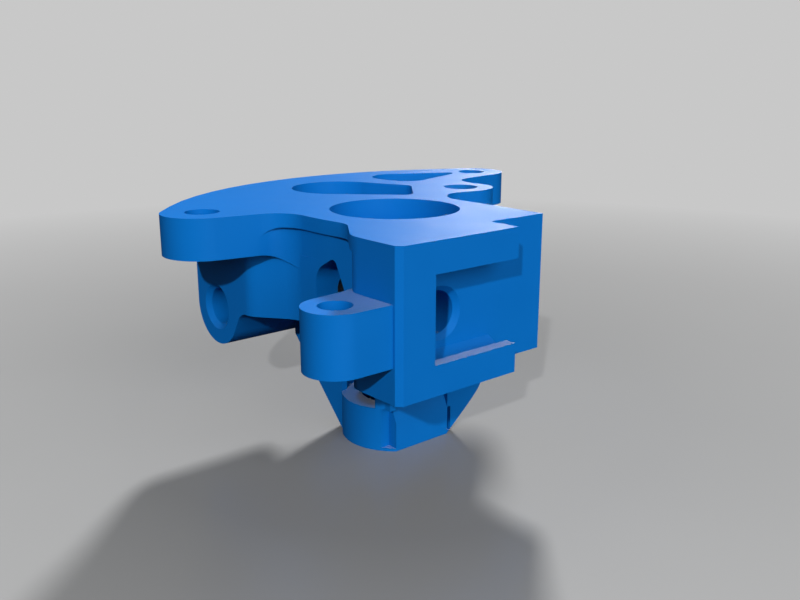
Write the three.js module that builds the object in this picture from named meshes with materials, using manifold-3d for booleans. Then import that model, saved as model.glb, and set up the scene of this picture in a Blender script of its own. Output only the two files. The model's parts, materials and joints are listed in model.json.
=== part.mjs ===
// Gear housing of a compact direct-drive filament extruder, with the drive shaft, drive gear,
// bearings, liner and threaded inserts that it carries. Millimetres, +Z up. The design frame has
// the drive axis at X = Y = 0 and the filament path along Y; the finished group is then centred on
// its own footprint, standing on Z = 0.

import * as THREE from 'three';
import { ConvexGeometry } from 'three/addons/geometries/ConvexGeometry.js';
import { mergeVertices } from 'three/addons/utils/BufferGeometryUtils.js';
import Module from 'manifold-3d';

const wasm = await Module();
wasm.setup();

// ---------------------------------------------------------------- driving dimensions

const TOP = 23.4; // flat face that carries the motor side
const RIM_BOTTOM = 22.05; // thin rim over the lever recess
const PLATE_BOTTOM = 19.4; // underside of the 4 mm ear plate
const BARREL_BOTTOM = 12.75;
const BLOCK_BOTTOM = 10.05;

const EAR_RADIUS = 4;
const EAR_LEFT = { x: 15.51, y: -10.22 };
const EAR_RIGHT = { x: -27.53, y: -17.1 };
const EAR_REAR = { x: -15.97, y: -7.17 };
const SCREW_HOLE = 1.67; // M3 clearance
const INSERT_HOLE = 1.95; // hole for an M3 heat-set insert

const RIM_RADIUS = 9.25;
const BARREL_RADIUS = 8.9;
const COUNTERBORE = { radius: 6.4, floor: 21.2 };
const CHAMBER_RADIUS = 5;

const BLOCK = { left: 12, front: 14.85, back: 11.45, right: -8.75, step: -1.75, chamfer: 0.5 };
const SLOT = { left: 8.05, bottom: 12.8, top: 20.6, lip: 1.1, ramp: 1.3 };
const FILAMENT = { x: 4.45, z: 15.95, hole: 2, chamfer: 0.5 };
const RIM_ARCH = { x: 9.9, radius: 3 }; // where the recess under the rim runs out, by the left ear
const WEB_ARCH = { x: 12.2, radius: 4.5 }; // where the ear's underside runs down into the barrel
const WINDOW = { y: 1.1, top: 19.7, bottom: 14, radius: 2 };

const LUG = { x: 15.55, y: 11.25, radius: 2.85, hole: 1.47, bottom: 13.25, top: 18.6, front: 14.1 };
const BOSS = { y: -14.85, z: 12.4, radius: 4, depth: 5.4, inner: 1 };

const LEG = { radius: 5.5, flat: 4.3, ledge: 4.4, lip: 0.5, lipHole: 2.9 };
const PANEL = { halfWidth: 3.43, top: 2.95, back: 3.65, reliefBack: 3.2, reliefWidth: 0.45, foot: 0.3 };
const SKIRT = { left: 4.2, back: -12, kneeBack: -8.7, knee: 5.25, top: 8.6 };
const ACCESS = { back: -3.4, front: 2.7, from: 2 };

const BEARING = { width: 2.5, section: 1.5, ball: 0.46, balls: 8 }; // section: bore to outside
const RACE = { gap: 0.28, grooveRadius: BEARING.ball + 0.05 };
const CAGE = { thickness: 0.3, halfHeight: 0.72, pocket: BEARING.ball + 0.07 };
const UPPER_BORE = 2.5;
const LOWER_BORE = 2;
const SEAT_GAP = 0.05;
const UPPER_SEAT = COUNTERBORE.floor - 2.6;
const LOWER_BEARING = LEG.lip + SEAT_GAP + BEARING.width / 2;
const UPPER_BEARING = UPPER_SEAT + SEAT_GAP + BEARING.width / 2;

const SHAFT = { radius: 2.45, journal: 1.95, shoulder: 3.1, bottom: 0.2, top: 21.1 };
const SOCKET = { radius: 1.45, depth: 4 };
const GEAR = { radius: 4, root: 3.72, bore: 2.5, bottom: 10.4, top: 18.2, teeth: 20 };
const HOB = { waist: 3.5, halfWidth: 1.9 };
const SHIM = { inner: 2.55, outer: 2.95, bottom: 18.28, top: 18.58 };
const GRUB = { radius: 1.2, z: 12.1, from: 2.55, to: 3.9, socket: 0.65 };
const LINER = { outer: 1.95, bore: 1, from: -2.9, to: -18 };
const INSERT = { radius: 1.86, waist: 1.66, bore: 1.25, length: 2.8, knurls: 14 };

const FINE = 6; // degrees between the points of an arc
const COARSE = 10;
const TURN_SIDES = 24; // sides of the small turned parts
const FAR = 25; // reaches past the housing from its middle

// ---------------------------------------------------------------- materials

const finish = (color, roughness, metalness) => {
  return new THREE.MeshStandardMaterial({ color, roughness, metalness });
};
const BLUE_PLASTIC = finish(0x0b6fc4, 0.45, 0);
const STEEL = finish(0xb9bcc0, 0.3, 1);
const HARD_STEEL = finish(0x8f9398, 0.28, 1);
const CAGE_STEEL = finish(0xc8b98a, 0.4, 1);
const BLACK_STEEL = finish(0x2b2c2e, 0.45, 0.8);
const BRASS = finish(0xc79a3f, 0.35, 1);
const PTFE = finish(0xf2f0e8, 0.5, 0);

// ---------------------------------------------------------------- solids

const radians = THREE.MathUtils.degToRad;

// A closed three.js geometry as a solid that can be joined and cut.
function solid(geometry) {
  const bare = geometry.index ? geometry : geometry.clone();
  bare.deleteAttribute('normal');
  bare.deleteAttribute('uv');
  const merged = mergeVertices(bare, 1e-5);
  const vertProperties = new Float32Array(merged.getAttribute('position').array);
  const triVerts = new Uint32Array(merged.index.array);
  return new wasm.Manifold(new wasm.Mesh({ numProp: 3, vertProperties, triVerts }));
}

function geometryOf(body) {
  const { vertProperties, triVerts } = body.getMesh();
  const geometry = new THREE.BufferGeometry();
  geometry.setAttribute('position', new THREE.BufferAttribute(vertProperties, 3));
  geometry.setIndex(new THREE.BufferAttribute(triVerts, 1));
  geometry.computeVertexNormals();
  return geometry;
}

const join = (...bodies) => bodies.reduce((all, body) => all.add(body));
const cut = (body, ...tools) => tools.reduce((rest, tool) => rest.subtract(tool), body);

function box(low, high) {
  const [x, y, z] = high.map((value, i) => value - low[i]);
  const geometry = new THREE.BoxGeometry(x, y, z);
  geometry.translate(low[0] + x / 2, low[1] + y / 2, low[2] + z / 2);
  return solid(geometry);
}

// A cone or cylinder that stands on z0, from radius r0 to r1.
function drum(r0, r1, z0, z1, centre = { x: 0, y: 0 }, sides = 36) {
  const geometry = new THREE.CylinderGeometry(r1, r0, z1 - z0, sides);
  geometry.rotateX(Math.PI / 2);
  geometry.translate(centre.x, centre.y, (z0 + z1) / 2);
  return solid(geometry);
}

function drumAlongX(r0, r1, x0, x1, y, z, sides = TURN_SIDES) {
  const geometry = new THREE.CylinderGeometry(r1, r0, x1 - x0, sides);
  geometry.rotateZ(-Math.PI / 2);
  geometry.translate((x0 + x1) / 2, y, z);
  return solid(geometry);
}

function drumAlongY(r0, r1, y0, y1, x, z, sides = TURN_SIDES) {
  const geometry = new THREE.CylinderGeometry(r1, r0, y1 - y0, sides);
  geometry.translate(x, (y0 + y1) / 2, z);
  return solid(geometry);
}

// A ring turned about Z from a closed profile of [radius, height] points.
function turned(profile, sides = TURN_SIDES) {
  const points = [...profile, profile[0]].map(([r, z]) => new THREE.Vector2(r, z));
  const geometry = new THREE.LatheGeometry(points, sides);
  geometry.rotateX(Math.PI / 2);
  return solid(geometry);
}

// The ends of an arc and, between them, every whole multiple of the step, so that arcs of the same
// circle share their points.
function arcAngles(start, turn, step) {
  const clear = 0.1;
  const last = Math.max(start, start + turn) / step - clear;
  const between = [];
  for (let k = Math.ceil(Math.min(start, start + turn) / step + clear); k <= last; k += 1) {
    between.push(k * step);
  }
  return [start, ...(turn < 0 ? between.reverse() : between), start + turn];
}

// The outline that a belt takes round circles {x, y, r}: it passes each on its left when r is
// positive, on its right when r is negative, and turns sharply where r is 0.
function belt(circles) {
  const lines = circles.map((from, i) => {
    const to = circles[(i + 1) % circles.length];
    const reach = Math.hypot(to.x - from.x, to.y - from.y);
    const bearing = Math.atan2(to.y - from.y, to.x - from.x);
    return bearing + Math.acos((to.r - from.r) / reach);
  });
  const full = 2 * Math.PI;
  const points = circles.flatMap(({ x, y, r }, i) => {
    if (r === 0) return [new THREE.Vector2(x, y)];
    const start = lines[(i + lines.length - 1) % lines.length];
    const side = Math.sign(r);
    const turn = ((((lines[i] - start) * side) % full) + full) % full;
    return arcAngles(start, side * turn, radians(FINE)).map((angle) => {
      return new THREE.Vector2(x - r * Math.cos(angle), y - r * Math.sin(angle));
    });
  });
  return new THREE.Shape(points);
}

function slab(shape, z0, z1) {
  const geometry = new THREE.ExtrudeGeometry(shape, { depth: z1 - z0, bevelEnabled: false });
  geometry.translate(0, 0, z0);
  return solid(geometry);
}

// Extrudes a shape drawn in Y (across) and Z (up) along X.
function bar(shape, x0, x1) {
  const geometry = new THREE.ExtrudeGeometry(shape, { depth: x1 - x0, bevelEnabled: false });
  geometry.rotateX(Math.PI / 2);
  geometry.rotateZ(Math.PI / 2);
  geometry.translate(x0, 0, 0);
  return solid(geometry);
}

const corner = (x, y) => ({ x, y, r: 0 });

// ---------------------------------------------------------------- gearbox housing

const SWEEP = { x: -9.02, y: 7.3, r: 34 }; // long arc of the plate's back edge
const BARREL = { x: 0, y: 0, r: BARREL_RADIUS };
const BLOCK_FRONT = [
  corner(BLOCK.left, BLOCK.front - BLOCK.chamfer),
  corner(BLOCK.left - BLOCK.chamfer, BLOCK.front),
  corner(BLOCK.step, BLOCK.front),
  corner(BLOCK.step, BLOCK.back),
  corner(BLOCK.right, BLOCK.back),
];
const PLATE_RIGHT = [
  { x: -12.5, y: -0.3, r: -3.75 },
  { ...EAR_REAR, r: 3.7 },
  { x: -22.6, y: -9.4, r: -3.1 },
  { ...EAR_RIGHT, r: EAR_RADIUS },
];
const LEFT_EAR = { ...EAR_LEFT, r: EAR_RADIUS };
const RIM_LEFT = [LEFT_EAR, { x: 12.65, y: -2.2, r: -3.4 }, { x: 0, y: 0, r: RIM_RADIUS }];
const PLATE_LEFT = [LEFT_EAR, corner(12.06, -5.55), { x: 11.5, y: -2.9, r: -2.6 }, BARREL];
const RIM_FLARE = [{ x: 11.6, y: 3.4, r: -2.65 }, { x: 8.5, y: 9.7, r: 3.5 }];
const RECESS_WALL = [{ x: 9.4, y: 5.1, r: -1.6 }, { x: 10, y: 9.5, r: 2 }];
const WEB_LEFT = [
  corner(BOSS.inner, BOSS.y - BOSS.radius),
  corner(BLOCK.left, BOSS.y - BOSS.radius),
  { x: 9.6, y: -9, r: 2.4 },
  { x: 11.95, y: -3.2, r: -3 },
  BARREL,
];

function lowerOutline() {
  const back = [{ ...BARREL, r: -BLOCK.right }, corner(BOSS.inner, BLOCK.right)];
  return belt([...WEB_LEFT, ...RECESS_WALL, ...BLOCK_FRONT, ...back]);
}

function plates() {
  const rim = belt([SWEEP, ...RIM_LEFT, ...RIM_FLARE, ...BLOCK_FRONT, ...PLATE_RIGHT]);
  const plate = belt([SWEEP, ...PLATE_LEFT, ...RECESS_WALL, ...BLOCK_FRONT, ...PLATE_RIGHT]);
  const levels = join(slab(rim, RIM_BOTTOM, TOP), slab(plate, PLATE_BOTTOM, RIM_BOTTOM));
  return join(levels, rimArch(rim), webArch(plate));
}

// The rounded end of the recess under the rim.
function rimArch(rim) {
  const { x, radius } = RIM_ARCH;
  const near = box([x, EAR_LEFT.y, PLATE_BOTTOM], [x + radius, 0, RIM_BOTTOM]);
  const hollow = drumAlongY(radius, radius, -FAR, FAR, x, RIM_BOTTOM - radius, 72);
  return cut(slab(rim, PLATE_BOTTOM, RIM_BOTTOM).intersect(near), hollow);
}

// The rounded run of the ear's underside down into the barrel.
function webArch(plate) {
  const { x, radius } = WEB_ARCH;
  const low = PLATE_BOTTOM - 1.6;
  const near = box([BARREL_RADIUS - 0.4, EAR_LEFT.y, low], [x, 0, PLATE_BOTTOM]);
  const hollow = drumAlongY(radius, radius, -FAR, FAR, x, PLATE_BOTTOM - radius, 72);
  return cut(slab(plate, low, PLATE_BOTTOM).intersect(near), hollow);
}

function block() {
  const outline = belt([corner(BLOCK.right, 3), corner(6, 3), RECESS_WALL[1], ...BLOCK_FRONT]);
  return slab(outline, BLOCK_BOTTOM, PLATE_BOTTOM);
}

// Screw boss: a rounded rib under the plate that ends in the face with the insert's hole.
function screwBoss() {
  const section = belt([
    { x: BOSS.y, y: BOSS.z, r: BOSS.radius },
    { x: -8.9, y: 10.85, r: -1.9 },
    corner(-7.5, BARREL_BOTTOM + 0.5),
    corner(-7.5, PLATE_BOTTOM),
    corner(BOSS.y - BOSS.radius, PLATE_BOTTOM),
  ]);
  const footprint = slab(lowerOutline(), BOSS.z - BOSS.radius - 1, PLATE_BOTTOM);
  return bar(section, BOSS.inner, BLOCK.left).intersect(footprint);
}

function leverLug() {
  const outline = belt([
    corner(9.2, 7.4),
    { x: 13.2, y: 5.4, r: -2.7 },
    { x: LUG.x, y: LUG.y, r: LUG.radius },
    corner(BLOCK.left - 1, LUG.front),
  ]);
  return slab(outline, LUG.bottom, LUG.top);
}

// Print-friendly skirt that flares at 45 degrees from the leg up to the block and the boss.
function skirt() {
  const points = [];
  const foot = LEG.radius - 0.05;
  for (let angle = 0; angle < 360; angle += COARSE) {
    points.push(new THREE.Vector3(foot * Math.cos(radians(angle)), foot * Math.sin(radians(angle)), 0));
  }
  const level = (back, z) => {
    for (const x of [BLOCK.right, SKIRT.left]) {
      for (const y of [back, LEG.flat + 1]) {
        points.push(new THREE.Vector3(x, y, z));
      }
    }
  };
  level(SKIRT.kneeBack, SKIRT.knee);
  level(SKIRT.back, SKIRT.top);
  level(SKIRT.back, BARREL_BOTTOM);
  const hull = solid(new ConvexGeometry(points));
  const shade = box([SKIRT.left, -FAR, -1], [FAR, FAR, BARREL_BOTTOM + 1]);
  return hull.subtract(shade);
}

function leg() {
  const tube = drum(LEG.radius, LEG.radius, 0, BLOCK_BOTTOM + 1, undefined, 60);
  const body = join(tube, skirt());
  const flat = box([-FAR, LEG.flat, -1], [FAR, FAR, BLOCK_BOTTOM]);
  const side = box([ACCESS.from, ACCESS.back, LEG.ledge], [FAR, ACCESS.front, BLOCK_BOTTOM]);
  return cut(body, flat, side, ...frontPanel());
}

// What is cut away round the flat panel on the leg's front: a hollow with a sloping sill above it,
// and a relief down each side.
function frontPanel() {
  const { halfWidth, top, back, reliefBack, reliefWidth, foot } = PANEL;
  const hollow = belt([
    corner(LEG.flat, top),
    corner(LEG.flat + 1, top),
    corner(LEG.flat + 1, BLOCK_BOTTOM),
    corner(back, BLOCK_BOTTOM),
    corner(back, LEG.ledge),
  ]);
  return [
    bar(hollow, -halfWidth, halfWidth),
    box([halfWidth, reliefBack, foot], [FAR, FAR, LEG.ledge]),
    box([-halfWidth - reliefWidth, back, foot], [-halfWidth, FAR, top]),
  ];
}

function driveBore() {
  const upperSeat = UPPER_BORE + BEARING.section + SEAT_GAP;
  const lowerSeat = LOWER_BORE + BEARING.section + SEAT_GAP;
  return [
    drum(COUNTERBORE.radius, COUNTERBORE.radius, COUNTERBORE.floor, TOP + 1, undefined, 60),
    drum(upperSeat, upperSeat, UPPER_SEAT, COUNTERBORE.floor + 1),
    drum(CHAMBER_RADIUS, CHAMBER_RADIUS, LEG.ledge, UPPER_SEAT),
    drum(lowerSeat, lowerSeat, LEG.lip, LEG.ledge + 1),
    drum(LEG.lipHole, LEG.lipHole, -1, LEG.lip + 1),
  ];
}

function plateHoles() {
  const pinion = belt([
    { x: -4.86, y: -15.85, r: 5.38 },
    { x: -7.4, y: -7.3, r: 1.05 },
    { x: -11.1, y: -11.9, r: 1.1 },
  ]);
  const lightening = belt([
    { x: -23.9, y: -17.9, r: 0.75 },
    { x: -16.35, y: -19.15, r: 3.05 },
    { x: -16.2, y: -17.2, r: 2.65 },
  ]);
  const low = PLATE_BOTTOM - 1;
  return [
    slab(pinion, low, TOP + 1),
    slab(lightening, low, TOP + 1),
    drum(SCREW_HOLE, SCREW_HOLE, low, TOP + 1, EAR_LEFT),
    drum(SCREW_HOLE, SCREW_HOLE, low, TOP + 1, EAR_RIGHT),
    drum(INSERT_HOLE, INSERT_HOLE, low, TOP + 1, EAR_REAR),
  ];
}

// Slot for a slide-in tube fitting, with the ramp behind its bottom lip.
function fittingSlot() {
  const open = BLOCK.step - 5;
  const pocket = box([open, BLOCK.back, SLOT.bottom], [SLOT.left, BLOCK.front + 1, SLOT.top]);
  const lipInside = BLOCK.front - SLOT.lip;
  const ramp = belt([
    corner(BLOCK.back, SLOT.bottom),
    corner(lipInside, SLOT.bottom - SLOT.ramp),
    corner(lipInside, SLOT.bottom + 0.5),
    corner(BLOCK.back, SLOT.bottom + 0.5),
  ]);
  return [pocket, bar(ramp, open, SLOT.left)];
}

function filamentPath() {
  const { x, z, hole, chamfer } = FILAMENT;
  return [
    drumAlongY(hole, hole, -FAR, BLOCK.back + 1, x, z, 36),
    drumAlongY(hole, hole + 2 * chamfer, BLOCK.back - chamfer, BLOCK.back + chamfer, x, z, 36),
  ];
}

// Opening in the barrel wall through which the idler reaches the filament.
function gearWindow() {
  const { y, top, bottom, radius } = WINDOW;
  const tip = 0.5;
  const outline = belt([
    { x: y + 0.45, y: top - tip, r: tip },
    { x: y, y: top - 2.5, r: radius },
    { x: y, y: bottom + radius, r: radius },
  ]);
  return bar(outline, 3, BLOCK.left);
}

function sideHoles() {
  const face = BLOCK.left;
  const mouth = INSERT_HOLE + 1;
  return [
    drumAlongX(INSERT_HOLE, INSERT_HOLE, face - BOSS.depth, face + 1, BOSS.y, BOSS.z, 36),
    drumAlongX(INSERT_HOLE, mouth, face - 0.5, face + 0.5, BOSS.y, BOSS.z, 36),
    gearWindow(),
    drum(LUG.hole, LUG.hole, LUG.bottom - 1, LUG.top + 1, LUG),
  ];
}

function gearboxHousing() {
  const lower = slab(lowerOutline(), BARREL_BOTTOM, PLATE_BOTTOM);
  const body = join(plates(), lower, block(), screwBoss(), leverLug(), leg());
  return cut(body, ...driveBore(), ...plateHoles(), ...fittingSlot(), ...filamentPath(), ...sideHoles());
}

// ---------------------------------------------------------------- bearings

const pitchOf = (bore) => bore + BEARING.section / 2;

// One race, outside or inside the balls, with the groove that they run in.
function race(bore, outwards) {
  const half = BEARING.width / 2;
  const pitch = pitchOf(bore);
  const side = outwards ? 1 : -1;
  const back = pitch + (side * BEARING.section) / 2;
  const face = pitch + side * RACE.gap;
  const opening = Math.acos(RACE.gap / RACE.grooveRadius);
  const groove = [-1, -0.5, 0, 0.5, 1].map((share) => [
    pitch + side * RACE.grooveRadius * Math.cos(share * opening),
    RACE.grooveRadius * Math.sin(share * opening),
  ]);
  const profile = [[back, -half], [face, -half], ...groove, [face, half], [back, half]];
  return turned(outwards ? profile.reverse() : profile);
}

function ballPlaces(bore) {
  return Array.from({ length: BEARING.balls }, (_, i) => {
    const angle = (2 * Math.PI * i) / BEARING.balls;
    return new THREE.Vector3(Math.cos(angle), Math.sin(angle), 0).multiplyScalar(pitchOf(bore));
  });
}

function ballCage(bore) {
  const { thickness, halfHeight, pocket } = CAGE;
  const inner = pitchOf(bore) - thickness / 2;
  const outer = inner + thickness;
  const ring = turned([
    [inner, -halfHeight],
    [outer, -halfHeight],
    [outer, halfHeight],
    [inner, halfHeight],
  ]);
  const pockets = ballPlaces(bore).map((centre) => {
    const sphere = new THREE.SphereGeometry(pocket, 8, 6);
    sphere.translate(centre.x, centre.y, centre.z);
    return solid(sphere);
  });
  return cut(ring, ...pockets);
}

// ---------------------------------------------------------------- drive train

function driveShaft() {
  const { radius, journal, shoulder, bottom, top } = SHAFT;
  const chamfer = 0.3;
  const body = turned([
    [0, bottom],
    [journal - chamfer, bottom],
    [journal, bottom + chamfer],
    [journal, shoulder],
    [radius, shoulder],
    [radius, top - chamfer],
    [radius - chamfer, top],
    [0, top],
  ], 32);
  return cut(body, drum(SOCKET.radius, SOCKET.radius, top - SOCKET.depth, top + 1, undefined, 6));
}

function toothedOutline(teeth, root, tip) {
  const shape = [];
  const pitch = (2 * Math.PI) / teeth;
  for (let i = 0; i < teeth; i += 1) {
    for (const [part, r] of [[-0.32, root], [-0.1, tip], [0.1, tip], [0.32, root]]) {
      const angle = (i + part) * pitch;
      shape.push(new THREE.Vector2(r * Math.cos(angle), r * Math.sin(angle)));
    }
  }
  return new THREE.Shape(shape);
}

function hobbedDriveGear() {
  const { radius, root, bore, bottom, top, teeth } = GEAR;
  const bandBottom = FILAMENT.z - HOB.halfWidth;
  const bandTop = FILAMENT.z + HOB.halfWidth;
  const band = slab(toothedOutline(teeth, root - 0.5, radius), bandBottom, bandTop);
  const waist = [-1, -0.5, 0, 0.5, 1].map((share) => [
    HOB.waist + (radius + 0.2 - HOB.waist) * share ** 2,
    FILAMENT.z + share * HOB.halfWidth,
  ]);
  const hub = turned([
    [0, bottom],
    [radius - 0.3, bottom],
    [radius, bottom + 0.3],
    [radius, bandBottom],
    [HOB.waist - 0.35, bandBottom],
    [HOB.waist - 0.35, bandTop],
    [radius, bandTop],
    [radius, top],
    [0, top],
  ], 36);
  const teethBand = band.intersect(turned([[0, bandBottom], ...waist, [0, bandTop]], 36));
  const grubHole = drumAlongX(GRUB.radius + 0.05, GRUB.radius + 0.05, 0, radius + 1, 0, GRUB.z, 16);
  return cut(join(hub, teethBand), drum(bore, bore, bottom - 1, top + 1), grubHole);
}

function grubScrew() {
  const body = drumAlongX(GRUB.radius, GRUB.radius, GRUB.from, GRUB.to, 0, GRUB.z, 16);
  return cut(body, drumAlongX(GRUB.socket, GRUB.socket, GRUB.to - 0.9, GRUB.to + 1, 0, GRUB.z, 6));
}

function shaftShim() {
  const { inner, outer, bottom, top } = SHIM;
  return turned([[inner, bottom], [outer, bottom], [outer, top], [inner, top]]);
}

// ---------------------------------------------------------------- liner and inserts

function outletLiner() {
  const { outer, bore, from, to } = LINER;
  const { x, z } = FILAMENT;
  const tube = drumAlongY(outer, outer, to, from, x, z);
  const gearRelief = drum(GEAR.radius + 0.25, GEAR.radius + 0.25, z - 3, z + 3);
  return cut(tube, drumAlongY(bore, bore, to - 1, from + 1, x, z, 16), gearRelief);
}

// Knurled insert, standing on the origin with a plain waist half way up.
function threadedInsert() {
  const { radius, waist, bore, length, knurls } = INSERT;
  const knurled = slab(toothedOutline(knurls, radius - 0.15, radius), 0, length);
  const middle = length / 2;
  const neck = turned([
    [waist, middle - 0.4],
    [radius + 1, middle - 0.4],
    [radius + 1, middle + 0.4],
    [waist, middle + 0.4],
  ]);
  return cut(knurled, neck, drum(bore, bore, -1, length + 1, undefined, 16));
}

// ---------------------------------------------------------------- assembly

const design = new THREE.Group();

function place(name, body, material, parent = design) {
  const mesh = new THREE.Mesh(geometryOf(body), material);
  mesh.name = name;
  parent.add(mesh);
  return mesh;
}

function bearing(prefix, bore, height) {
  const group = new THREE.Group();
  group.position.z = height;
  design.add(group);
  place(`${prefix}_outer_ring`, race(bore, true), STEEL, group);
  place(`${prefix}_inner_ring`, race(bore, false), STEEL, group);
  place(`${prefix}_cage`, ballCage(bore), CAGE_STEEL, group);
  ballPlaces(bore).forEach((centre, i) => {
    const ball = solid(new THREE.SphereGeometry(BEARING.ball, 8, 6));
    place(`${prefix}_ball_${i + 1}`, ball, HARD_STEEL, group).position.copy(centre);
  });
}

place('gearbox_housing', gearboxHousing(), BLUE_PLASTIC);
place('drive_shaft', driveShaft(), STEEL);
place('hobbed_drive_gear', hobbedDriveGear(), HARD_STEEL);
place('drive_gear_grub_screw', grubScrew(), BLACK_STEEL);
place('shaft_shim', shaftShim(), STEEL);
bearing('upper_bearing', UPPER_BORE, UPPER_BEARING);
bearing('lower_bearing', LOWER_BORE, LOWER_BEARING);
place('outlet_liner_tube', outletLiner(), PTFE);

const earInsert = place('rear_ear_insert', threadedInsert(), BRASS);
earInsert.position.set(EAR_REAR.x, EAR_REAR.y, PLATE_BOTTOM + 0.3);

const bossInsert = place('screw_boss_insert', threadedInsert(), BRASS);
bossInsert.rotation.y = Math.PI / 2;
bossInsert.position.set(BLOCK.left - BOSS.depth + 0.3, BOSS.y, BOSS.z);

const footprint = new THREE.Box3().setFromObject(design);
const middle = footprint.getCenter(new THREE.Vector3());
design.position.set(-middle.x, -middle.y, -footprint.min.z);

const extruderGearAssembly = new THREE.Group();
extruderGearAssembly.add(design);

export default extruderGearAssembly;
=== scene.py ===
"""Looks of the extruder gear assembly: one blue printed housing with its steel, brass and PTFE
pieces, on a pale floor in studio light. Everything is in metres, in the frame of the CAD model.
"""

import json
import math

import bmesh
import bpy
from mathutils import Matrix, Vector


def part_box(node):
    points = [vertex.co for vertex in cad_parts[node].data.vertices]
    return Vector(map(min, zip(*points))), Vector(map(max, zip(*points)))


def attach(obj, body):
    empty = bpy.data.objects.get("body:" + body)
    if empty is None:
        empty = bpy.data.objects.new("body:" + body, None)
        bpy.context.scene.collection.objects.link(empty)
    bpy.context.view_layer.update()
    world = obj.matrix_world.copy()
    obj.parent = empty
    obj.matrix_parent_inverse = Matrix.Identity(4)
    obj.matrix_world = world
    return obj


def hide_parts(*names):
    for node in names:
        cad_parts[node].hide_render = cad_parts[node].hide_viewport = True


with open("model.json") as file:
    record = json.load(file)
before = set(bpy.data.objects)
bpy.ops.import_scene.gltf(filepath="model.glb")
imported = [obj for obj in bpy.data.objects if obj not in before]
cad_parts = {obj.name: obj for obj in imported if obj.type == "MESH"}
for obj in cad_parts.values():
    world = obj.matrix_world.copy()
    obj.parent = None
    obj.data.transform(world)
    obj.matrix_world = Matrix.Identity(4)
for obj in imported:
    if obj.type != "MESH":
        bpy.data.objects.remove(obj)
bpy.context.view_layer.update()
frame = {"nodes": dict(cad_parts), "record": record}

MM = 0.001
TAU = 2 * math.pi

# ------------------------------------------------------------------ places, from the frame


def middle_of(name):
    low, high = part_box(name)
    return (Vector(low) + Vector(high)) / 2


def size_of(name):
    low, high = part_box(name)
    return Vector(high) - Vector(low)


SHAFT_MIDDLE = middle_of("drive_shaft")
AXIS = Vector((SHAFT_MIDDLE.x, SHAFT_MIDDLE.y, 0))  # the drive axis, at the leg's lower end
SLOTS = {part["node"]: part["material_slot"] for part in frame["record"]["subparts"]}
BODIES = {node: body for body, nodes in frame["record"]["behaviour"]["bodies"].items() for node in nodes}

# ------------------------------------------------------------------ shader helpers


def node(tree, kind, inputs=None, **settings):
    """A shader node. Each of its inputs is a value, or another node's socket to link from."""
    made = tree.nodes.new(kind)
    for key, value in settings.items():
        setattr(made, key, value)
    for key, value in (inputs or {}).items():
        if isinstance(value, bpy.types.NodeSocket):
            tree.links.new(value, made.inputs[key])
        else:
            made.inputs[key].default_value = value
    return made


def maths(tree, operation, *values):
    return node(tree, "ShaderNodeMath", dict(enumerate(values)), operation=operation).outputs[0]


def ramp(tree, factor, low, high, first, last):
    """first up to low, last from high on, and a straight run between them."""
    made = node(tree, "ShaderNodeMapRange", {
        "Value": factor, "From Min": low, "From Max": high, "To Min": first, "To Max": last,
    })
    return made.outputs[0]


def blend_colours(tree, factor, first, last):
    made = node(tree, "ShaderNodeMix", {"Factor": factor}, data_type="RGBA")
    made.inputs[6].default_value = (*first, 1)
    made.inputs[7].default_value = (*last, 1)
    return made.outputs[2]


def noise(tree, vector, scale, detail=3.0):
    return node(tree, "ShaderNodeTexNoise", {
        "Vector": vector, "Scale": scale, "Detail": detail,
    }).outputs["Fac"]


def millimetres(tree, centre=Vector()):
    """The surface point in millimetres, measured from centre."""
    place = node(tree, "ShaderNodeTexCoord").outputs["Object"]
    shifted = node(tree, "ShaderNodeVectorMath", {0: place, 1: -centre}, operation="ADD").outputs[0]
    inputs = {0: shifted, "Scale": 1 / MM}
    return node(tree, "ShaderNodeVectorMath", inputs, operation="SCALE").outputs[0]


def bumped(tree, height, depth_mm):
    return node(tree, "ShaderNodeBump", {
        "Height": height, "Distance": depth_mm * MM, "Strength": 1.0,
    }).outputs["Normal"]


def new_material(name):
    """A material with only its Principled shader, as (material, tree, shader)."""
    made = bpy.data.materials.new(name)
    made.use_nodes = True
    return made, made.node_tree, made.node_tree.nodes["Principled BSDF"]


def join_to(tree, shader, **sockets):
    for key, socket in sockets.items():
        tree.links.new(socket, shader.inputs[key.replace("_", " ")])


# ------------------------------------------------------------------ materials


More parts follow.
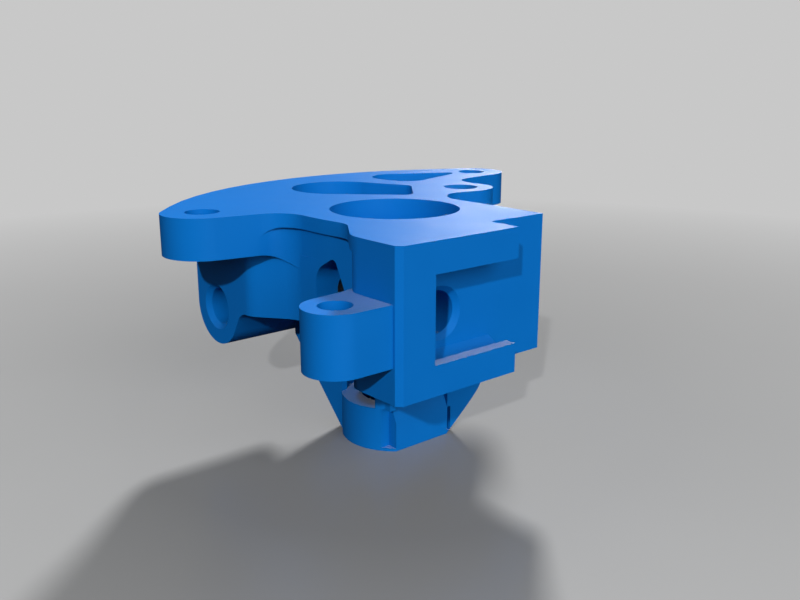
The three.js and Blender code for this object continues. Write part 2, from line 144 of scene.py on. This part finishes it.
def printed_plastic():
    """Satin blue filament, printed standing up: 0.2 mm layers on the sides and, on the level
    faces, strokes of the nozzle that lie at 45 degrees."""
    layer, stroke = 0.2, 0.42
    material, tree, shader = new_material("blue_plastic")
    shader.inputs["Specular IOR Level"].default_value = 0.42
    point = millimetres(tree)
    x, y, z = node(tree, "ShaderNodeSeparateXYZ", {0: point}).outputs
    facing = node(tree, "ShaderNodeNewGeometry").outputs["Normal"]
    level = maths(tree, "ABSOLUTE", node(tree, "ShaderNodeSeparateXYZ", {0: facing}).outputs[2])
    is_level = ramp(tree, level, 0.9, 0.97, 0.0, 1.0)
    wander = maths(tree, "MULTIPLY", noise(tree, point, 0.35), 0.5)
    layers = maths(tree, "SINE", maths(tree, "MULTIPLY", maths(tree, "ADD", z, wander), TAU / layer))
    across = maths(tree, "ADD", maths(tree, "ADD", x, y), wander)
    strokes = maths(tree, "SINE", maths(tree, "MULTIPLY", across, TAU / (stroke * math.sqrt(2))))
    side_lines = maths(tree, "MULTIPLY", layers, maths(tree, "SUBTRACT", 1.0, is_level))
    lines = maths(tree, "ADD", side_lines, maths(tree, "MULTIPLY", strokes, is_level))
    grain = noise(tree, point, 9.0, 4.0)
    cloud = noise(tree, point, 0.22, 2.0)
    most, rest = maths(tree, "MULTIPLY", cloud, 0.75), maths(tree, "MULTIPLY", grain, 0.25)
    mixed = maths(tree, "ADD", most, rest)
    colour = blend_colours(tree, mixed, (0.0008, 0.118, 0.42), (0.0014, 0.136, 0.47))
    satin = ramp(tree, mixed, 0.3, 0.7, 0.51, 0.57)
    rough = maths(tree, "ADD", satin, maths(tree, "MULTIPLY", lines, 0.01))
    ridges, grit = maths(tree, "MULTIPLY", lines, 0.5), maths(tree, "MULTIPLY", grain, 1.6)
    height = maths(tree, "ADD", ridges, grit)
    join_to(tree, shader, Base_Color=colour, Roughness=rough, Normal=bumped(tree, height, 0.0014))
    return material


def turned_metal(name, dark, light, roughness, centre, lines_per_mm, scratch_mm):
    """Metal that was turned or ground about an axis along Z through centre: fine rings that
    follow the radius and the height, with a few stains."""
    material, tree, shader = new_material(name)
    shader.inputs["Metallic"].default_value = 1.0
    shader.inputs["Anisotropic"].default_value = 0.25
    point = millimetres(tree, centre)
    x, y, z = node(tree, "ShaderNodeSeparateXYZ", {0: point}).outputs
    across = maths(tree, "ADD", maths(tree, "MULTIPLY", x, x), maths(tree, "MULTIPLY", y, y))
    radius = maths(tree, "SQRT", across)
    rings = node(tree, "ShaderNodeCombineXYZ", {0: radius, 1: z})
    fine = noise(tree, rings.outputs[0], lines_per_mm, 5.0)
    stain = noise(tree, point, 0.9, 3.0)
    colour = blend_colours(tree, ramp(tree, stain, 0.35, 0.7, 0.0, 1.0), dark, light)
    low, high = roughness
    rough = ramp(tree, maths(tree, "ADD", fine, stain), 0.7, 1.3, low, high)
    join_to(tree, shader, Base_Color=colour, Roughness=rough, Normal=bumped(tree, fine, scratch_mm))
    return material


def black_steel():
    """Black oxide over steel, thin on the raised grain."""
    material, tree, shader = new_material("black_steel")
    shader.inputs["Metallic"].default_value = 0.85
    point = millimetres(tree)
    grain = noise(tree, point, 12.0, 5.0)
    worn = ramp(tree, grain, 0.5, 0.75, 0.0, 1.0)
    colour = blend_colours(tree, worn, (0.02, 0.02, 0.024), (0.11, 0.11, 0.115))
    rough = ramp(tree, grain, 0.3, 0.7, 0.34, 0.52)
    join_to(tree, shader, Base_Color=colour, Roughness=rough, Normal=bumped(tree, grain, 0.004))
    return material


def ptfe():
    """Waxy white tube, drawn along Y."""
    material, tree, shader = new_material("ptfe")
    shader.inputs["Subsurface Weight"].default_value = 0.2
    shader.inputs["Subsurface Radius"].default_value = (0.0012, 0.001, 0.0008)
    point = millimetres(tree)
    along_y = {0: point, 1: (6.0, 0.4, 6.0)}
    drawn = node(tree, "ShaderNodeVectorMath", along_y, operation="MULTIPLY").outputs[0]
    streaks = noise(tree, drawn, 1.0, 4.0)
    cloud = noise(tree, point, 1.1, 2.0)
    colour = blend_colours(tree, cloud, (0.74, 0.73, 0.68), (0.84, 0.83, 0.79))
    rough = ramp(tree, streaks, 0.3, 0.7, 0.36, 0.5)
    join_to(tree, shader, Base_Color=colour, Roughness=rough, Normal=bumped(tree, streaks, 0.006))
    return material


EAR_INSERT_AXIS = middle_of("rear_ear_insert")

# Metals: dark and light colour, range of roughness, the rings' centre, rings per mm, and the
# depth of the scratches in mm. Both inserts share brass, with rings about the ear insert's axis.
METALS = {
    "shaft_steel": ((0.44, 0.45, 0.47), (0.55, 0.56, 0.58), (0.2, 0.34), AXIS, 9, 0.0025),
    "bearing_steel": ((0.5, 0.51, 0.53), (0.6, 0.61, 0.63), (0.16, 0.3), AXIS, 9, 0.0025),
    "ball_steel": ((0.58, 0.59, 0.61), (0.66, 0.67, 0.69), (0.06, 0.12), AXIS, 4, 0.0004),
    "cage_steel": ((0.4, 0.38, 0.33), (0.5, 0.48, 0.42), (0.26, 0.4), AXIS, 6, 0.003),
    "gear_steel": ((0.36, 0.37, 0.39), (0.46, 0.47, 0.49), (0.24, 0.38), AXIS, 7, 0.004),
    "brass": ((0.56, 0.36, 0.1), (0.68, 0.46, 0.15), (0.22, 0.36), EAR_INSERT_AXIS, 8, 0.003),
}
MATERIALS = {"blue_plastic": printed_plastic(), "black_steel": black_steel(), "ptfe": ptfe()}
for slot, values in METALS.items():
    MATERIALS[slot] = turned_metal(slot, *values)

# ------------------------------------------------------------------ meshes

WELD = 0.0005 * MM  # vertices closer than this are merged
CURVE_STEPS = 3  # on each rounded corner


def object_from(bm, name, smooth_degrees=35):
    """A bmesh as an object, shaded smooth apart from edges sharper than the angle."""
    bmesh.ops.recalc_face_normals(bm, faces=bm.faces)
    for face in bm.faces:
        face.smooth = True
    limit = math.radians(smooth_degrees)
    for edge in bm.edges:
        edge.smooth = len(edge.link_faces) == 2 and edge.calc_face_angle(math.pi) < limit
    mesh = bpy.data.meshes.new(name)
    bm.to_mesh(mesh)
    bm.free()
    made = bpy.data.objects.new(name, mesh)
    bpy.context.scene.collection.objects.link(made)
    return made


def stands_for(piece, cad_node):
    """Dresses a piece in the CAD node's slot, rides it on the node's body and hides the node."""
    slot = SLOTS[cad_node]
    piece.data.materials.clear()
    piece.data.materials.append(MATERIALS[slot])
    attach(piece, BODIES[cad_node])
    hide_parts(cad_node)
    return piece


def smoothed(cad_node, name, sharp_degrees=35):
    """The CAD node's shape with its vertices merged, smooth across its curved faces."""
    bm = bmesh.new()
    bm.from_mesh(frame["nodes"][cad_node].data)
    bmesh.ops.remove_doubles(bm, verts=bm.verts, dist=WELD)
    made = object_from(bm, name, sharp_degrees)
    weighted = made.modifiers.new("weighted", "WEIGHTED_NORMAL")
    weighted.keep_sharp = True
    weighted.mode = "FACE_AREA_WITH_ANGLE"
    return stands_for(made, cad_node)


def ring_surface(name, rows, turns=96, solid=False):
    """A surface about Z. Each row is a function from the angle to (radius, height) in mm. The
    rows make a closed ring or, when solid, the first and last are capped."""
    bm = bmesh.new()
    grid = []
    for row in rows:
        line = []
        for i in range(turns):
            angle = TAU * i / turns
            radius, height = row(angle)
            at = Vector((radius * math.cos(angle), radius * math.sin(angle), height))
            line.append(bm.verts.new(at * MM))
        grid.append(line)
    pairs = list(zip(grid, grid[1:]))
    if solid:
        bm.faces.new(grid[0])
        bm.faces.new(grid[-1])
    else:
        pairs.append((grid[-1], grid[0]))
    for line, after in pairs:
        for i in range(turns):
            k = (i + 1) % turns
            bm.faces.new((line[i], line[k], after[k], after[i]))
    return object_from(bm, name)


def plain(profile):
    """Rows of constant radius and height."""
    return [lambda angle, point=point: point for point in profile]


def moved(piece, place, turn=None):
    """Moves the piece's mesh, and leaves the object itself at the origin."""
    piece.data.transform(Matrix.Translation(place) @ (turn or Matrix()))
    return piece


def rounded(corner, before, after, reach):
    """Points of a curve that rounds a corner between its neighbours, in (radius, height). It
    starts and ends at the reach from the corner."""
    corner, before, after = Vector(corner), Vector(before), Vector(after)
    start = corner + (before - corner).normalized() * reach
    end = corner + (after - corner).normalized() * reach
    points = []
    for i in range(CURVE_STEPS + 1):
        t = i / CURVE_STEPS
        points.append(tuple(start * (1 - t) ** 2 + corner * 2 * t * (1 - t) + end * t ** 2))
    return points


def rounded_profile(corners, reach):
    points = []
    for i, corner in enumerate(corners):
        points += rounded(corner, corners[i - 1], corners[(i + 1) % len(corners)], reach)
    return points


# ------------------------------------------------------------------ ball bearings

# In mm
BALL_CLEARANCE = 0.05
CORNER, RIM_STEP, RIM_SINK = 0.18, 0.16, 0.12
GROOVE_STEPS = 10
RIBBON, RIBBON_WIDTH, RIBBON_STEPS = 0.14, 0.3, 28  # thickness, width, steps from ball to ball
RIVET_RADIUS, RIVET_HEIGHT = 0.11, 0.07


class Bearing:
    """One bearing's sizes in mm, read from the boxes of its CAD nodes."""

    def __init__(self, prefix):
        self.prefix = prefix
        self.middle = middle_of(f"{prefix}_outer_ring")
        self.balls = [name for name in frame["nodes"] if name.startswith(f"{prefix}_ball_")]
        first = middle_of(self.balls[0]) - self.middle
        self.pitch = Vector((first.x, first.y)).length / MM
        self.ball = size_of(self.balls[0]).z / MM / 2
        self.outside = size_of(f"{prefix}_outer_ring").x / MM / 2
        self.bore = 2 * self.pitch - self.outside
        self.half_width = size_of(f"{prefix}_outer_ring").z / MM / 2
        self.gap = self.pitch - size_of(f"{prefix}_inner_ring").x / MM / 2


def race(bearing, side):
    """The outer ring for side 1, the inner ring for side -1: rounded corners, a stepped rim by
    the gap and the balls' groove."""
    half = bearing.half_width
    back = bearing.outside if side > 0 else bearing.bore
    face = bearing.pitch + side * bearing.gap
    rim = face + side * RIM_STEP
    groove_radius = bearing.ball + BALL_CLEARANCE
    opening = math.acos(bearing.gap / groove_radius)
    groove = []
    for i in range(GROOVE_STEPS + 1):
        turn = opening * (2 * i / GROOVE_STEPS - 1)
        across = bearing.pitch + side * groove_radius * math.cos(turn)
        groove.append((across, groove_radius * math.sin(turn)))
    low = [(rim, -half), (rim, -half + RIM_SINK), (face, -half + RIM_SINK)]
    high = [(face, half - RIM_SINK), (rim, half - RIM_SINK), (rim, half)]
    outer = rounded((back, half), (face, half), (back, -half), CORNER)
    outer += rounded((back, -half), (back, half), (face, -half), CORNER)
    name = f"{bearing.prefix}_{'outer' if side > 0 else 'inner'}_race"
    return ring_surface(name, plain(low + groove + high + outer))


def ribbon_cage(bearing):
    """Two pressed steel ribbons that bend round each ball and are riveted between them."""
    count = len(bearing.balls)
    arch = bearing.ball + BALL_CLEARANCE
    inside, outside = bearing.pitch - RIBBON_WIDTH / 2, bearing.pitch + RIBBON_WIDTH / 2

    def centre_height(angle):
        nearest = round(angle / TAU * count) * TAU / count
        away = abs(angle - nearest) * bearing.pitch
        return math.sqrt(max(0.0, arch ** 2 - away ** 2))

    bm = bmesh.new()
    for side in (1, -1):
        rows = []
        for radius, level in ((inside, 0), (outside, 0), (outside, RIBBON), (inside, RIBBON)):
            rows.append(lambda a, r=radius, z=level, s=side: (r, s * (z + centre_height(a))))
        ribbon = ring_surface("ribbon", rows, turns=count * RIBBON_STEPS)
        bm.from_mesh(ribbon.data)
        bpy.data.objects.remove(ribbon)
    for i in range(count):
        angle = TAU * (i + 0.5) / count
        place = Vector((math.cos(angle), math.sin(angle), 0)) * bearing.pitch
        for side in (1, -1):
            at = Matrix.Translation((place + Vector((0, 0, side * RIBBON))) * MM)
            squash = Matrix.Diagonal((RIVET_RADIUS * MM, RIVET_RADIUS * MM, RIVET_HEIGHT * MM, 1))
            bmesh.ops.create_uvsphere(bm, u_segments=16, v_segments=10, radius=1, matrix=at @ squash)
    return object_from(bm, f"{bearing.prefix}_ribbon_cage")


def bearing_ball(bearing, number):
    bm = bmesh.new()
    bmesh.ops.create_icosphere(bm, subdivisions=3, radius=bearing.ball * MM)
    return object_from(bm, f"{bearing.prefix}_steel_ball_{number}")


def add_bearing(prefix):
    bearing = Bearing(prefix)
    stands_for(moved(race(bearing, 1), bearing.middle), f"{prefix}_outer_ring")
    stands_for(moved(race(bearing, -1), bearing.middle), f"{prefix}_inner_ring")
    stands_for(moved(ribbon_cage(bearing), bearing.middle), f"{prefix}_cage")
    for node_name in bearing.balls:
        number = node_name.rsplit("_", 1)[1]
        stands_for(moved(bearing_ball(bearing, number), middle_of(node_name)), node_name)


# ------------------------------------------------------------------ shaft, shim and inserts

# In mm; the socket's flat is measured from the middle
SOCKET_FLAT, SOCKET_DEPTH, SOCKET_CHAMFER = 1.25, 4.0, 0.12
JOURNAL_LENGTH, JOURNAL_STEP = 2.9, 0.5
RELIEF_FROM, RELIEF_TO, RELIEF_DEPTH = 0.35, 0.02, 0.12  # below the step


def shaft_piece():
    """The drive shaft: a stepped bar with chamfered ends, a relief groove at the step and a
    hexagon socket in its upper end."""
    size = size_of("drive_shaft") / MM
    radius, half = size.x / 2, size.z / 2
    journal, shoulder = radius - JOURNAL_STEP, JOURNAL_LENGTH - half
    relief, chamfer = journal - RELIEF_DEPTH, 0.3

    def hexagon(extra, height):
        def row(angle):
            from_flat = (angle % (TAU / 6)) - TAU / 12
            return SOCKET_FLAT / math.cos(from_flat) + extra, height
        return row

    outside = plain([
        (journal - chamfer, -half), (journal, chamfer - half), (journal, shoulder - RELIEF_FROM),
        (relief, shoulder - RELIEF_FROM + 0.1), (relief, shoulder - RELIEF_TO),
        (journal, shoulder), (radius - 0.1, shoulder), (radius, shoulder + 0.1),
        (radius, half - chamfer), (radius - chamfer, half),
    ])
    mouth = [hexagon(SOCKET_CHAMFER, half), hexagon(0, half - SOCKET_CHAMFER)]
    floor = hexagon(0, half - SOCKET_DEPTH)
    return ring_surface("shaft_with_socket", [*outside, *mouth, floor], solid=True)


def shim_piece():
    size = size_of("shaft_shim") / MM
    outside, half = size.x / 2, size.z / 2
    inside = outside - 0.4
    corners = [(inside, -half), (outside, -half), (outside, half), (inside, half)]
    return ring_surface("ground_shim", plain(rounded_profile(corners, 0.05)))


def insert_piece(name, length, radius):
    """Heat-set insert along Z: two bands of slanted knurls that lean opposite ways, a plain
    waist, a smaller nose below and an M3 thread inside."""
    knurls, lean, knurl_depth = 24, 0.9, 0.15
    pitch, bore, thread_depth = 0.5, 1.25, 0.16
    nose, waist = radius - 0.16, radius - 0.2

    def knurled(height, slant):
        def row(angle):
            share = (knurls * angle / TAU + slant * lean * height / knurl_depth / 4) % 1
            return radius - knurl_depth * abs(2 * share - 1), height
        return row

    def threaded(height):
        def row(angle):
            share = (height / pitch - angle / TAU) % 1
            return bore + thread_depth * (1 - abs(2 * share - 1)), height
        return row

    rows = plain([(nose, 0.0), (nose, 0.3)])
    for low, high, slant in ((0.36, 1.1, 1), (1.6, 2.5, -1)):
        steps = 6
        rows += plain([(waist, low - 0.04)])
        rows += [knurled(low + (high - low) * i / steps, slant) for i in range(steps + 1)]
        rows += plain([(waist, high + 0.04)])
    rows += plain([(radius - 0.05, 2.56), (radius - 0.05, length), (bore + 0.32, length)])
    steps = 44
    rows += [threaded(length - 0.14 - (length - 0.28) * i / steps) for i in range(steps + 1)]
    rows += plain([(bore + 0.32, 0.0)])
    return ring_surface(name, rows, turns=144)


def add_inserts():
    """Both inserts point their noses into their holes."""
    low, high = (Vector(corner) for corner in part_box("rear_ear_insert"))
    length, radius = (high.z - low.z) / MM, (high.x - low.x) / MM / 2
    foot = Vector(((low.x + high.x) / 2, (low.y + high.y) / 2, low.z))
    stands_for(moved(insert_piece("ear_thread_insert", length, radius), foot), "rear_ear_insert")
    low, high = (Vector(corner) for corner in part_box("screw_boss_insert"))
    foot = Vector((low.x, (low.y + high.y) / 2, (low.z + high.z) / 2))
    turn = Matrix.Rotation(TAU / 4, 4, "Y")
    piece = insert_piece("boss_thread_insert", length, radius)
    stands_for(moved(piece, foot, turn), "screw_boss_insert")


# ------------------------------------------------------------------ the assembly

housing = smoothed("gearbox_housing", "housing_shell")
smoothed("hobbed_drive_gear", "filament_drive_gear", 28)
smoothed("drive_gear_grub_screw", "gear_grub_screw")
smoothed("outlet_liner_tube", "ptfe_liner")
add_bearing("upper_bearing")
add_bearing("lower_bearing")
stands_for(moved(shaft_piece(), SHAFT_MIDDLE), "drive_shaft")
stands_for(moved(shim_piece(), middle_of("shaft_shim")), "shaft_shim")
add_inserts()

# ------------------------------------------------------------------ floor, light and camera

CAMERA_FROM_AXIS = Vector((54.76, 65.48, 36.888)) * MM
CAMERA_YAW, CAMERA_PITCH = math.radians(-130.26), math.radians(-14.97)
LENS, SENSOR = 39.37, 36.0

BACKDROP = (0.578, 0.578, 0.578)
AMBIENT, AMBIENT_BELOW, DOME = 0.12, 0.02, 0.5
FLOOR_RADIUS, FLOOR_DEPTH = 4.0, 0.02 * MM
FADE_FROM, FADE_TO = 0.03, 0.16


def towards(azimuth, elevation):
    """The direction at an azimuth from +X towards +Y and an elevation, in radians."""
    flat = math.cos(elevation)
    return Vector((flat * math.cos(azimuth), flat * math.sin(azimuth), math.sin(elevation)))


def add_camera():
    data = bpy.data.cameras.new("camera")
    data.lens, data.sensor_width = LENS, SENSOR
    data.clip_start, data.clip_end = 1 * MM, 50
    camera = bpy.data.objects.new("camera", data)
    bpy.context.scene.collection.objects.link(camera)
    camera.location = AXIS + CAMERA_FROM_AXIS
    camera.rotation_euler = towards(CAMERA_YAW, CAMERA_PITCH).to_track_quat("-Z", "Y").to_euler()
    bpy.context.scene.camera = camera


def add_sun(name, azimuth, elevation, strength, softness):
    data = bpy.data.lights.new(name, "SUN")
    data.energy, data.angle = strength, math.radians(softness)
    sun = bpy.data.objects.new(name, data)
    bpy.context.scene.collection.objects.link(sun)
    direction = towards(math.radians(azimuth), math.radians(elevation))
    sun.rotation_euler = (-direction).to_track_quat("-Z", "Y").to_euler()
    return sun


def add_lights(plastic):
    """A broad and a narrow light from the camera's side and one from behind, which only light,
    and one from behind that only makes the sheen on the plastic's level faces."""
    for light in (
        add_sun("key_light", 84, 22, 2.2, 44),
        add_sun("side_light", 38, 27, 2.05, 1.5),
        add_sun("back_light", 223.6, 28.4, 6.8, 6),
    ):
        light.visible_glossy = False  # a mirrored sun would glare on the floor
    sheen = add_sun("sheen_light", 223.6, 12.5, 0.36, 4)
    sheen.visible_diffuse = False
    sheen.data.use_shadow = False
    lit = bpy.data.collections.new("plastic_pieces")
    for piece in plastic:
        lit.objects.link(piece)
    sheen.light_linking.receiver_collection = lit


def add_world():
    """Soft ambient light that is weaker from below, a high pale dome for the metals to mirror,
    and a pale grey backdrop where the camera looks past the floor."""
    world = bpy.data.worlds.new("studio")
    world.use_nodes = True
    bpy.context.scene.world = world
    tree = world.node_tree
    tree.nodes.clear()
    direction = node(tree, "ShaderNodeTexCoord").outputs["Generated"]
    up = node(tree, "ShaderNodeSeparateXYZ", {0: direction}).outputs[2]
    rays = node(tree, "ShaderNodeLightPath").outputs

    def glow(colour, strength):
        inputs = {"Color": (*colour, 1), "Strength": strength}
        return node(tree, "ShaderNodeBackground", inputs).outputs[0]

    def choose(factor, first, second):
        return node(tree, "ShaderNodeMixShader", {0: factor, 1: first, 2: second}).outputs[0]

    ambient = glow((0.85, 0.93, 1), ramp(tree, up, -0.25, 0.1, AMBIENT_BELOW, AMBIENT))
    dome = glow((1, 1, 1), ramp(tree, up, 0.35, 0.75, 0.01, DOME))
    light = choose(rays["Is Glossy Ray"], ambient, dome)
    both = choose(rays["Is Camera Ray"], light, glow(BACKDROP, 1.0))
    node(tree, "ShaderNodeOutputWorld", {"Surface": both})


def add_floor():
    """A wide, slightly glossy disc that fades into the backdrop with its distance."""
    bm = bmesh.new()
    bmesh.ops.create_circle(bm, cap_ends=True, segments=128, radius=FLOOR_RADIUS)
    floor = moved(object_from(bm, "floor"), Vector((0, 0, -FLOOR_DEPTH)))
    material, tree, shader = new_material("floor")
    point = millimetres(tree)
    distance = node(tree, "ShaderNodeVectorMath", {0: point}, operation="LENGTH").outputs["Value"]
    cloud = noise(tree, point, 0.02, 3.0)
    near = blend_colours(tree, cloud, (0.25, 0.25, 0.25), (0.275, 0.275, 0.275))
    join_to(tree, shader, Base_Color=near)
    shader.inputs["Roughness"].default_value = 0.28
    haze = node(tree, "ShaderNodeEmission", {"Color": (*BACKDROP, 1), "Strength": 1.0})
    fade = ramp(tree, distance, FADE_FROM / MM, FADE_TO / MM, 0.0, 1.0)
    both = node(tree, "ShaderNodeMixShader", {0: fade, 1: shader.outputs[0], 2: haze.outputs[0]})
    tree.links.new(both.outputs[0], tree.nodes["Material Output"].inputs["Surface"])
    floor.data.materials.append(material)
    floor.visible_diffuse = floor.visible_glossy = False


add_camera()
add_lights([housing])
add_world()
add_floor()
bpy.context.scene.view_settings.view_transform = "Standard"
